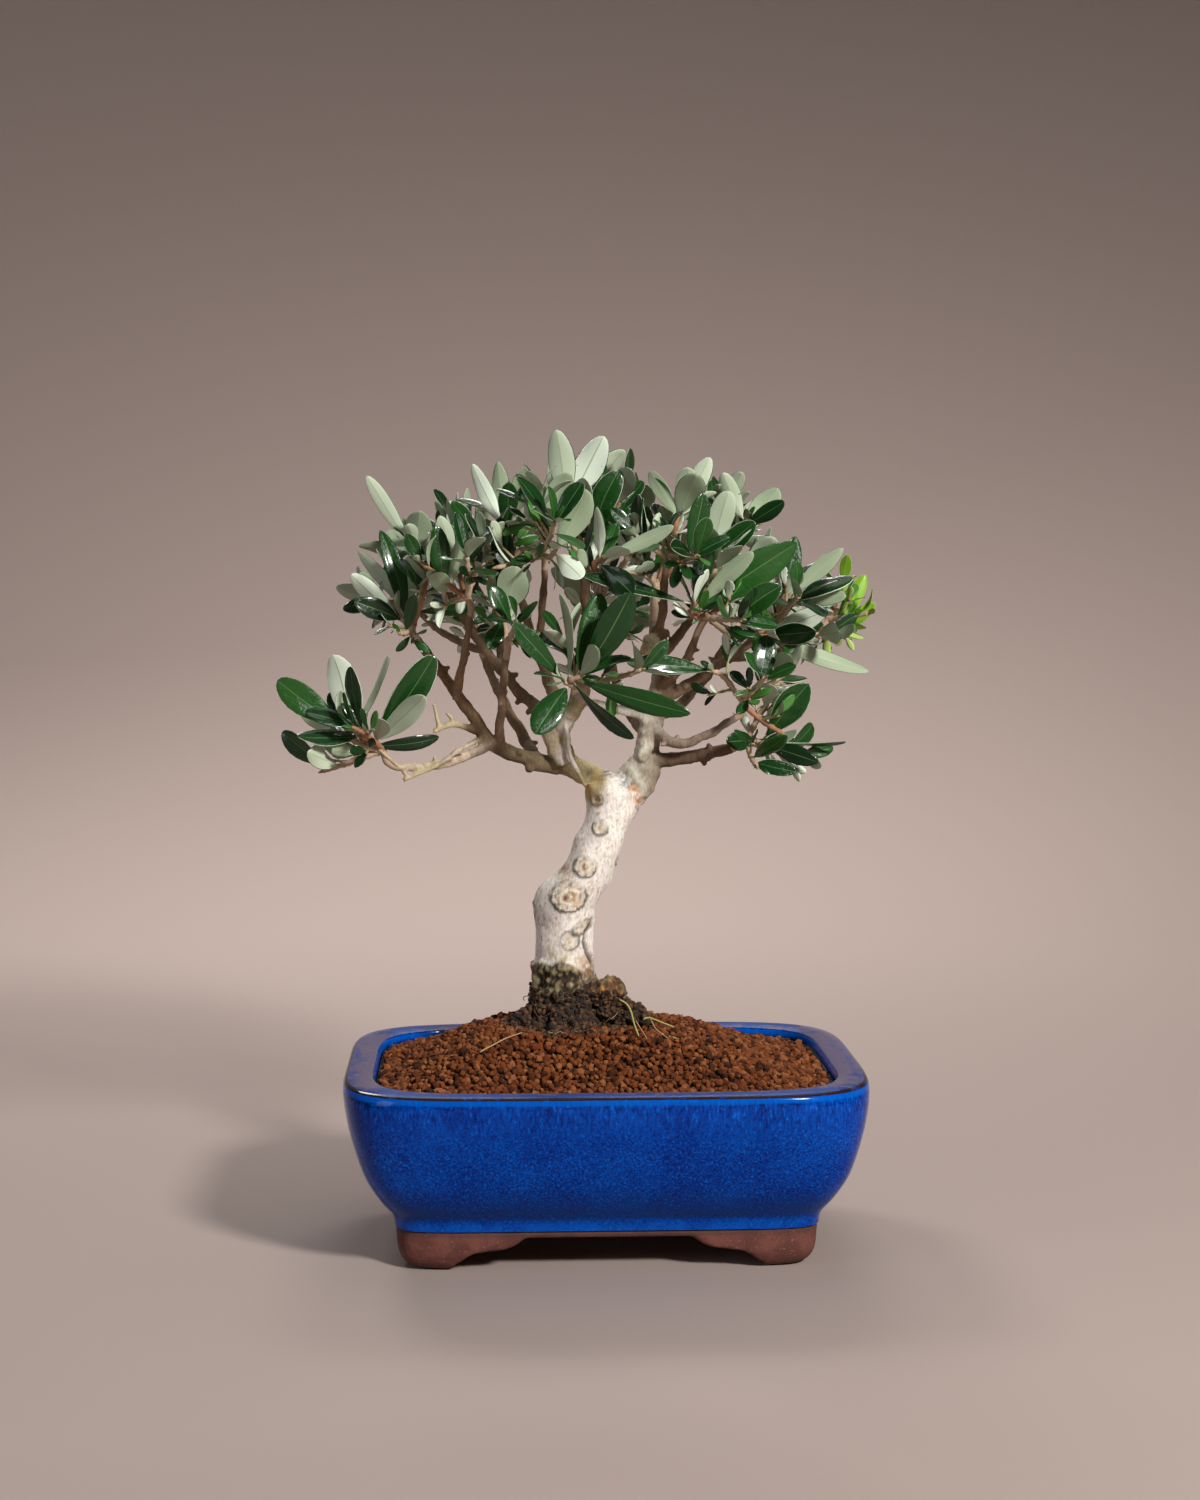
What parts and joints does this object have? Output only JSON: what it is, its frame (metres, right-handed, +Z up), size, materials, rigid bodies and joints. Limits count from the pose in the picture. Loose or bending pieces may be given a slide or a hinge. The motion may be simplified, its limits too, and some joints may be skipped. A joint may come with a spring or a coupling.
{
  "type": "potted olive bonsai",
  "caption": "Small olive tree with a leaning trunk that forks into a wide leafy crown, planted in a rectangular glazed pot with cloud-shaped clay feet.",
  "frame": {"origin": "on the surface the pot stands on, under the middle of the whole plant's box", "axes": "+Z up; -Y is the front of the plant and of the pot's long side; +X to the right seen from the front"},
  "size_m": [0.23, 0.1522, 0.3149],
  "materials": {
    "blue_glaze": "glossy mottled cobalt glaze on stoneware",
    "red_clay": "bare fired red-brown clay",
    "soil": "granular red-brown bonsai soil",
    "pale_bark": "pale, slightly rough olive bark",
    "limb_bark": "olive-brown young bark",
    "foliage": "leathery olive leaves, dark above and grey-green below"
  },
  "bodies": {
    "root": {"back_centre": "foliage", "back_centre_limb": "limb_bark", "back_left": "foliage", "back_left_limb": "limb_bark", "back_left_top": "foliage", "back_left_top_limb": "limb_bark", "back_right": "foliage", "back_right_limb": "limb_bark", "back_right_top": "foliage", "back_right_top_limb": "limb_bark", "back_top": "foliage", "back_top_limb": "limb_bark", "centre_front": "foliage", "centre_front_limb": "limb_bark", "centre_low": "foliage", "centre_rise": "limb_bark", "far_left_back": "foliage", "far_left_back_limb": "limb_bark", "front_left_limb": "limb_bark", "front_left_top": "foliage", "front_right_limb": "limb_bark", "front_right_top": "foliage", "left_arm": "limb_bark", "left_back_limb": "limb_bark", "left_crown_limb": "limb_bark", "left_fork": "limb_bark", "left_front": "foliage", "left_front_limb": "limb_bark", "left_inner": "foliage", "left_inner_limb": "limb_bark", "left_pad": "foliage", "left_rise": "limb_bark", "left_top_pad": "foliage", "low_left_arm": "limb_bark", "low_left_spray": "foliage", "pot_bowl": "blue_glaze", "pot_foot": "red_clay", "right_arm": "limb_bark", "right_centre": "foliage", "right_curve": "limb_bark", "right_far_limb": "limb_bark", "right_fork": "limb_bark", "right_low": "foliage", "right_mid_low": "foliage", "right_out_limb": "limb_bark", "right_pad": "foliage", "right_rise": "limb_bark", "right_tip": "foliage", "right_top": "foliage", "right_top_limb": "limb_bark", "soil": "soil", "top_centre": "foliage", "top_left": "foliage", "top_right_centre": "foliage", "trunk": "pale_bark"}
  },
  "joints": []
}
